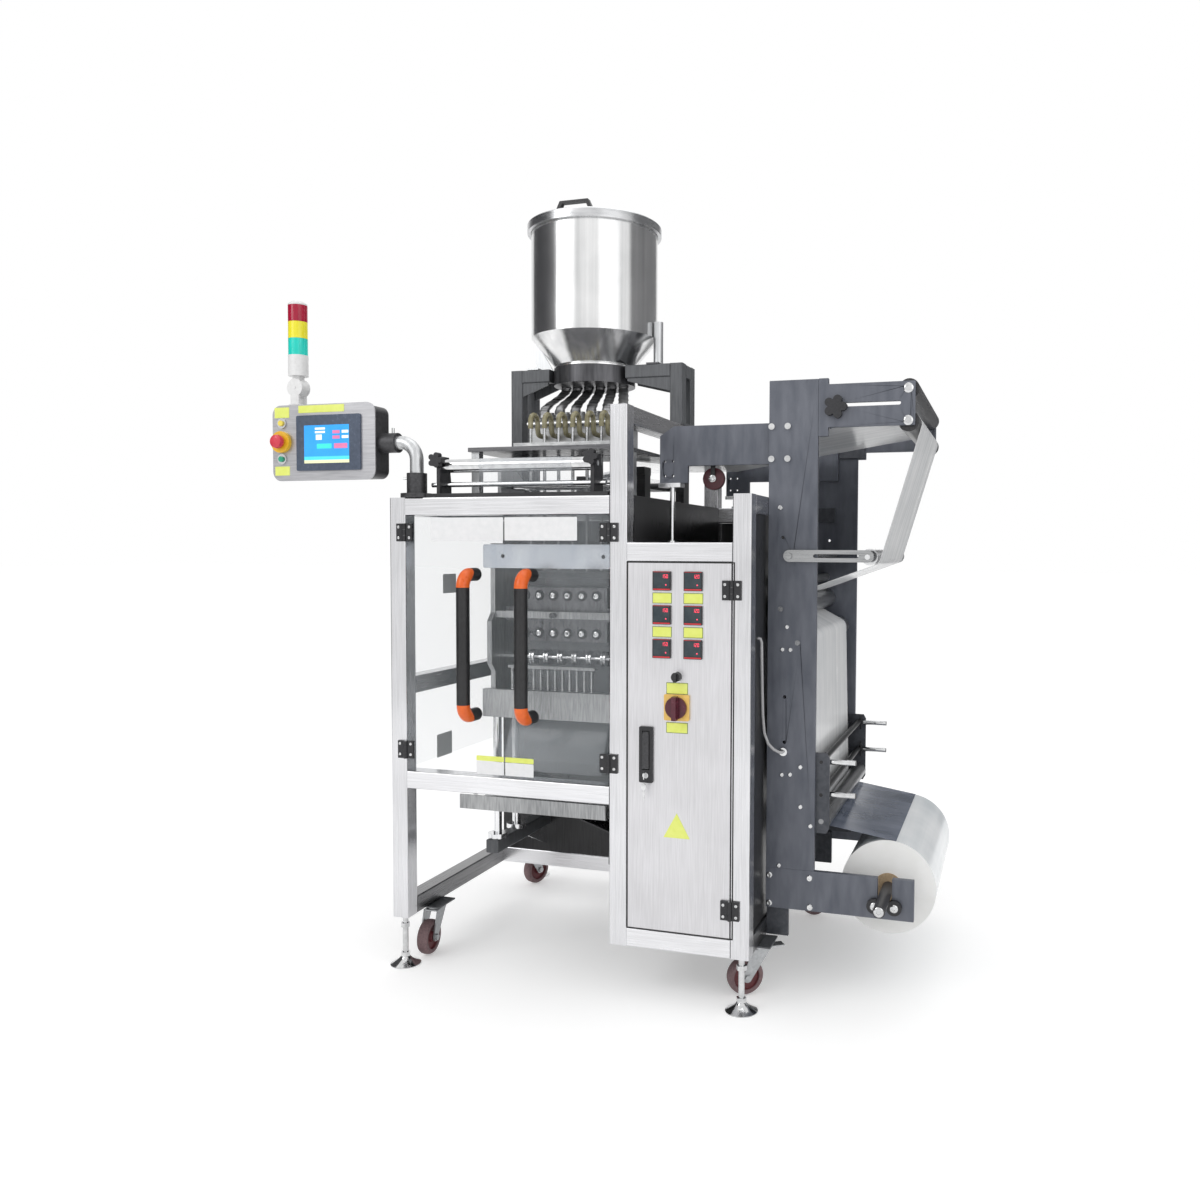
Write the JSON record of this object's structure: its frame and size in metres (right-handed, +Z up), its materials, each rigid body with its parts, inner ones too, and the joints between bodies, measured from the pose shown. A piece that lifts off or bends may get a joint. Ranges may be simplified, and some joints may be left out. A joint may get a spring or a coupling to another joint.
{
  "type": "four-side seal packing machine",
  "caption": "Multi-lane four-side seal sachet packing machine with hopper, lane pump, sealing unit, film rack, operator panel and cabinet on a tube frame.",
  "frame": {"origin": "centre of the footprint of the whole machine, on the floor", "axes": "+Z up, -Y towards the operator's side with the clear doors, +X towards the film rack"},
  "size_m": [1.885, 1.048, 2.2464],
  "materials": {
    "brushed_steel_frame": "brushed",
    "clear_panel": "clear",
    "cabinet_sheet": "satin",
    "dark_steel": "satin",
    "hopper_steel": "brushed",
    "hose": "matt",
    "machined_steel": "machined",
    "black_plastic": "matt",
    "door_sheet": "brushed",
    "panel_shell": "satin",
    "screen": "gloss",
    "red_plastic": "gloss",
    "dark_red_plastic": "gloss",
    "yellow_plastic": "gloss",
    "green_plastic": "gloss",
    "beacon_plastic": "gloss",
    "roller_steel": "polished",
    "rack_paint": "satin",
    "film": "gloss",
    "heater_metal": "machined",
    "zinc": "polished",
    "caster_tread": "matt",
    "caster_fork": "satin"
  },
  "bodies": {
    "machine": {"frame_posts": "brushed_steel_frame", "frame_rails": "brushed_steel_frame", "side_windows": "clear_panel", "cabinet_panels": "cabinet_sheet", "hopper_stand": "dark_steel", "hopper": "hopper_steel", "hoses_and_cables": "hose", "pump_block": "machined_steel", "deck_plates": "machined_steel", "seal_frame": "machined_steel", "packet_chute": "clear_panel", "discharge_tray": "machined_steel", "drive_unit": "dark_steel", "frame_fittings": "black_plastic", "leveling_feet": "zinc", "rack_plates": "rack_paint", "rack_bars": "dark_steel", "film_web": "film"},
    "left_door": {"left_door_panel": "clear_panel", "left_door_handle": "black_plastic"},
    "right_door": {"right_door_panel": "clear_panel", "right_door_handle": "black_plastic"},
    "electrical_door": {"cabinet_door": "door_sheet", "door_instruments": "black_plastic"},
    "lock_handle": {"lock_handle": "black_plastic"},
    "main_switch": {"main_switch_knob": "dark_red_plastic"},
    "selector": {"selector_knob": "black_plastic"},
    "panel_arm": {"panel_arm": "machined_steel"},
    "operator_panel": {"operator_panel": "panel_shell", "touch_screen": "screen"},
    "estop": {"estop_button": "red_plastic"},
    "yellow_button": {"yellow_button": "yellow_plastic"},
    "green_button": {"green_button": "green_plastic"},
    "beacon": {"beacon": "beacon_plastic"},
    "hopper_lid": {"hopper_lid": "hopper_steel"},
    "pump_bar": {"pump_bar": "machined_steel"},
    "front_roller": {"front_roller": "roller_steel"},
    "vertical_jaw_front": {"vertical_jaw_front": "heater_metal"},
    "vertical_jaw_rear": {"vertical_jaw_rear": "heater_metal"},
    "pull_wheels_front": {"pull_wheels_front": "machined_steel"},
    "pull_wheels_rear": {"pull_wheels_rear": "machined_steel"},
    "cross_jaw": {"cross_jaw": "heater_metal"},
    "film_roll": {"film_roll": "film"},
    "slotted_arms": {"slotted_arms": "machined_steel"},
    "arm_roller": {"arm_roller": "roller_steel"},
    "guide_roller": {"guide_roller": "dark_steel"},
    "feed_roller_lower": {"feed_roller_lower": "dark_steel"},
    "feed_roller_upper": {"feed_roller_upper": "dark_steel"},
    "top_roller": {"top_roller": "roller_steel"},
    "exit_roller": {"exit_roller": "roller_steel"},
    "upper_clamp": {"upper_clamp": "zinc"},
    "lower_clamp": {"lower_clamp": "zinc"},
    "caster_front_left": {"caster_front_left": "caster_fork"},
    "wheel_front_left": {"wheel_front_left": "caster_tread"},
    "caster_front_right": {"caster_front_right": "caster_fork"},
    "wheel_front_right": {"wheel_front_right": "caster_tread"},
    "caster_rear_left": {"caster_rear_left": "caster_fork"},
    "wheel_rear_left": {"wheel_rear_left": "caster_tread"},
    "caster_rear_right": {"caster_rear_right": "caster_fork"},
    "wheel_rear_right": {"wheel_rear_right": "caster_tread"}
  },
  "joints": [
    {"name": "left_door_hinge", "type": "hinge", "parent": "machine", "child": "left_door", "pos_m": [-0.5105, -0.441, 0.928], "axis": [0, 0, -1], "range_deg": [0, 110]},
    {"name": "right_door_hinge", "type": "hinge", "parent": "machine", "child": "right_door", "pos_m": [0.1065, -0.441, 0.928], "axis": [0, 0, 1], "range_deg": [0, 110]},
    {"name": "cabinet_door_hinge", "type": "hinge", "parent": "machine", "child": "electrical_door", "pos_m": [0.4425, -0.441, 0.68], "axis": [0, 0, 1], "range_deg": [0, 110]},
    {"name": "lock_handle_swing", "type": "hinge", "parent": "electrical_door", "child": "lock_handle", "pos_m": [0.2125, -0.436, 0.715], "axis": [-1, 0, 0], "range_deg": [0, 35]},
    {"name": "main_switch_turn", "type": "hinge", "parent": "electrical_door", "child": "main_switch", "pos_m": [0.2965, -0.442, 0.789], "axis": [0, 1, 0], "range_deg": [0, 90]},
    {"name": "selector_turn", "type": "hinge", "parent": "electrical_door", "child": "selector", "pos_m": [0.2965, -0.439, 0.869], "axis": [0, 1, 0], "range_deg": [-45, 45]},
    {"name": "panel_arm_swivel", "type": "hinge", "parent": "machine", "child": "panel_arm", "pos_m": [-0.4885, -0.408, 1.4], "axis": [0, 0, 1], "range_deg": [-45, 100]},
    {"name": "operator_panel_tilt", "type": "hinge", "parent": "panel_arm", "child": "operator_panel", "pos_m": [-0.5805, -0.408, 1.497], "axis": [1, 0, 0], "range_deg": [-20, 20]},
    {"name": "estop_press", "type": "slide", "parent": "operator_panel", "child": "estop", "axis": [0, 1, 0], "range_m": [0, 0.005]},
    {"name": "yellow_button_press", "type": "slide", "parent": "operator_panel", "child": "yellow_button", "axis": [0, 1, 0], "range_m": [0, 0.003], "stiffness_N_per_m": 300},
    {"name": "green_button_press", "type": "slide", "parent": "operator_panel", "child": "green_button", "axis": [0, 1, 0], "range_m": [0, 0.003], "stiffness_N_per_m": 300},
    {"name": "beacon_fold", "type": "hinge", "parent": "operator_panel", "child": "beacon", "pos_m": [-0.8805, -0.41, 1.664], "axis": [0, 1, 0], "range_deg": [-90, 90]},
    {"name": "hopper_lid_lift", "type": "slide", "parent": "machine", "child": "hopper_lid", "axis": [0, 0, 1], "range_m": [0, 0.25]},
    {"name": "pump_bar_stroke", "type": "slide", "parent": "machine", "child": "pump_bar", "axis": [0, 0, 1], "range_m": [0, 0.018]},
    {"name": "front_roller_turn", "type": "hinge", "parent": "machine", "child": "front_roller", "pos_m": [-0.1565, -0.385, 1.43], "axis": [1, 0, 0], "continuous": true},
    {"name": "vertical_jaw_front_stroke", "type": "slide", "parent": "machine", "child": "vertical_jaw_front", "axis": [0, 1, 0], "range_m": [0, 0.014]},
    {"name": "vertical_jaw_rear_stroke", "type": "slide", "parent": "machine", "child": "vertical_jaw_rear", "axis": [0, -1, 0], "range_m": [0, 0.014]},
    {"name": "pull_wheels_front_turn", "type": "hinge", "parent": "machine", "child": "pull_wheels_front", "pos_m": [-0.1565, -0.1595, 0.876], "axis": [1, 0, 0], "continuous": true},
    {"name": "pull_wheels_rear_turn", "type": "hinge", "parent": "machine", "child": "pull_wheels_rear", "pos_m": [-0.1565, -0.1105, 0.876], "axis": [1, 0, 0], "continuous": true},
    {"name": "cross_jaw_stroke", "type": "slide", "parent": "machine", "child": "cross_jaw", "axis": [0, 1, 0], "range_m": [0, 0.008]},
    {"name": "film_roll_turn", "type": "hinge", "parent": "machine", "child": "film_roll", "pos_m": [0.8145, 0.11, 0.286], "axis": [0, 1, 0], "continuous": true},
    {"name": "slotted_arms_swing", "type": "hinge", "parent": "machine", "child": "slotted_arms", "pos_m": [0.5525, 0.11, 1.183], "axis": [0, -1, 0], "range_deg": [-20, 25], "deforming": ["film_web"]},
    {"name": "arm_roller_turn", "type": "hinge", "parent": "slotted_arms", "child": "arm_roller", "pos_m": [0.7605, 0.11, 1.181], "axis": [0, 1, 0], "continuous": true},
    {"name": "guide_roller_turn", "type": "hinge", "parent": "machine", "child": "guide_roller", "pos_m": [0.6405, 0.11, 0.468], "axis": [0, 1, 0], "continuous": true},
    {"name": "feed_roller_lower_turn", "type": "hinge", "parent": "machine", "child": "feed_roller_lower", "pos_m": [0.5745, 0.11, 0.95], "axis": [0, 1, 0], "continuous": true},
    {"name": "feed_roller_upper_turn", "type": "hinge", "parent": "machine", "child": "feed_roller_upper", "pos_m": [0.5275, 0.11, 1.04], "axis": [0, 1, 0], "continuous": true},
    {"name": "top_roller_turn", "type": "hinge", "parent": "machine", "child": "top_roller", "pos_m": [0.8595, 0.11, 1.617], "axis": [0, 1, 0], "continuous": true},
    {"name": "exit_roller_turn", "type": "hinge", "parent": "machine", "child": "exit_roller", "pos_m": [0.8595, 0.11, 1.534], "axis": [0, 1, 0], "continuous": true},
    {"name": "upper_clamp_swing", "type": "hinge", "parent": "machine", "child": "upper_clamp", "pos_m": [0.6395, 0.11, 0.629], "axis": [0, -1, 0], "range_deg": [0, 35]},
    {"name": "lower_clamp_swing", "type": "hinge", "parent": "machine", "child": "lower_clamp", "pos_m": [0.6395, 0.11, 0.54], "axis": [0, -1, 0], "range_deg": [0, 35]},
    {"name": "swivel_front_left", "type": "hinge", "parent": "machine", "child": "caster_front_left", "pos_m": [-0.5145, -0.285, 0.139], "axis": [0, 0, 1], "continuous": true},
    {"name": "roll_front_left", "type": "hinge", "parent": "caster_front_left", "child": "wheel_front_left", "pos_m": [-0.51084, -0.32684, 0.052], "axis": [0.9962, 0.0872, 0], "continuous": true},
    {"name": "swivel_front_right", "type": "hinge", "parent": "machine", "child": "caster_front_right", "pos_m": [0.4845, -0.285, 0.139], "axis": [0, 0, 1], "continuous": true},
    {"name": "roll_front_right", "type": "hinge", "parent": "caster_front_right", "child": "wheel_front_right", "pos_m": [0.4501, -0.30909, 0.052], "axis": [0.5736, -0.8192, 0], "continuous": true},
    {"name": "swivel_rear_left", "type": "hinge", "parent": "machine", "child": "caster_rear_left", "pos_m": [-0.5145, 0.315, 0.139], "axis": [0, 0, 1], "continuous": true},
    {"name": "roll_rear_left", "type": "hinge", "parent": "caster_rear_left", "child": "wheel_rear_left", "pos_m": [-0.50014, 0.35447, 0.052], "axis": [-0.9397, 0.342, 0], "continuous": true},
    {"name": "swivel_rear_right", "type": "hinge", "parent": "machine", "child": "caster_rear_right", "pos_m": [0.4845, 0.315, 0.139], "axis": [0, 0, 1], "continuous": true},
    {"name": "roll_rear_right", "type": "hinge", "parent": "caster_rear_right", "child": "wheel_rear_right", "pos_m": [0.51667, 0.342, 0.052], "axis": [-0.6428, 0.766, 0], "continuous": true}
  ],
  "couplings": [
    {"joint": "pull_wheels_rear_turn", "follows": "pull_wheels_front_turn", "ratio": -1},
    {"joint": "vertical_jaw_rear_stroke", "follows": "vertical_jaw_front_stroke", "ratio": 1}
  ]
}
